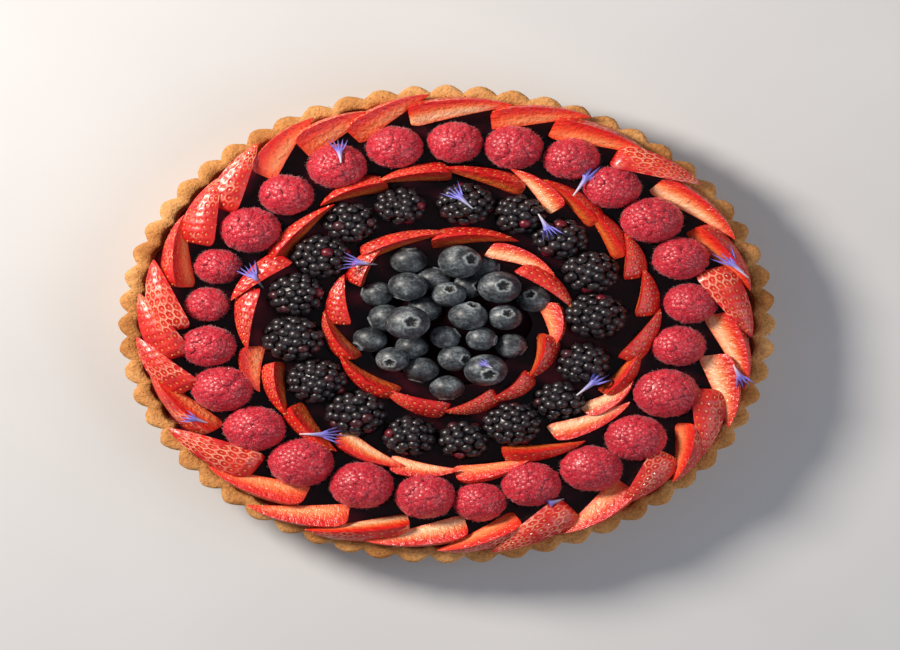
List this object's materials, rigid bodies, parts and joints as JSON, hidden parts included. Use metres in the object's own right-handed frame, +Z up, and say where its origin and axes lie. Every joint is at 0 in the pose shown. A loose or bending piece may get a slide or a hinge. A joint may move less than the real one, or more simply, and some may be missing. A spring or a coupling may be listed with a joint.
{
  "type": "berry tart",
  "caption": "Round fluted shortcrust tart with dark berry jelly, topped with rings of strawberry slices, raspberries and brambles round a heap of blueberries.",
  "frame": {"origin": "centre of the pastry case's flat underside, where the tart rests", "axes": "+Z up through the middle of the round tart, +X and +Y across it"},
  "size_m": [0.24, 0.24, 0.0502],
  "materials": {
    "pastry": "baked, sandy, matt",
    "berry_jelly": "clear dark jelly, glossy",
    "raspberry": "downy skin under a thin glaze",
    "bramble": "glossy",
    "blueberry": "waxy bloom, matt",
    "strawberry": "moist, glazed",
    "petal": "soft, matt"
  },
  "bodies": {
    "root": {"pastry_case": "pastry", "berry_filling": "berry_jelly", "raspberry_01": "raspberry", "raspberry_02": "raspberry", "raspberry_03": "raspberry", "raspberry_04": "raspberry", "raspberry_05": "raspberry", "raspberry_06": "raspberry", "raspberry_07": "raspberry", "raspberry_08": "raspberry", "raspberry_09": "raspberry", "raspberry_10": "raspberry", "raspberry_11": "raspberry", "raspberry_12": "raspberry", "raspberry_13": "raspberry", "raspberry_14": "raspberry", "raspberry_15": "raspberry", "raspberry_16": "raspberry", "raspberry_17": "raspberry", "raspberry_18": "raspberry", "raspberry_19": "raspberry", "raspberry_20": "raspberry", "raspberry_21": "raspberry", "raspberry_22": "raspberry", "raspberry_23": "raspberry", "raspberry_24": "raspberry", "raspberry_25": "raspberry", "bramble_01": "bramble", "bramble_02": "bramble", "bramble_03": "bramble", "bramble_04": "bramble", "bramble_05": "bramble", "bramble_06": "bramble", "bramble_07": "bramble", "bramble_08": "bramble", "bramble_09": "bramble", "bramble_10": "bramble", "bramble_11": "bramble", "bramble_12": "bramble", "bramble_13": "bramble", "bramble_14": "bramble", "bramble_15": "bramble", "bramble_16": "bramble", "bramble_17": "bramble", "blueberry_heap": "blueberry", "strawberry_outer_1": "strawberry", "strawberry_outer_2": "strawberry", "strawberry_outer_3": "strawberry", "strawberry_outer_4": "strawberry", "strawberry_outer_5": "strawberry", "strawberry_outer_6": "strawberry", "strawberry_middle_1": "strawberry", "strawberry_middle_2": "strawberry", "strawberry_middle_3": "strawberry", "strawberry_middle_4": "strawberry", "strawberry_middle_5": "strawberry", "strawberry_inner_1": "strawberry", "strawberry_inner_2": "strawberry", "strawberry_inner_3": "strawberry", "strawberry_inner_4": "strawberry"}
  },
  "joints": []
}
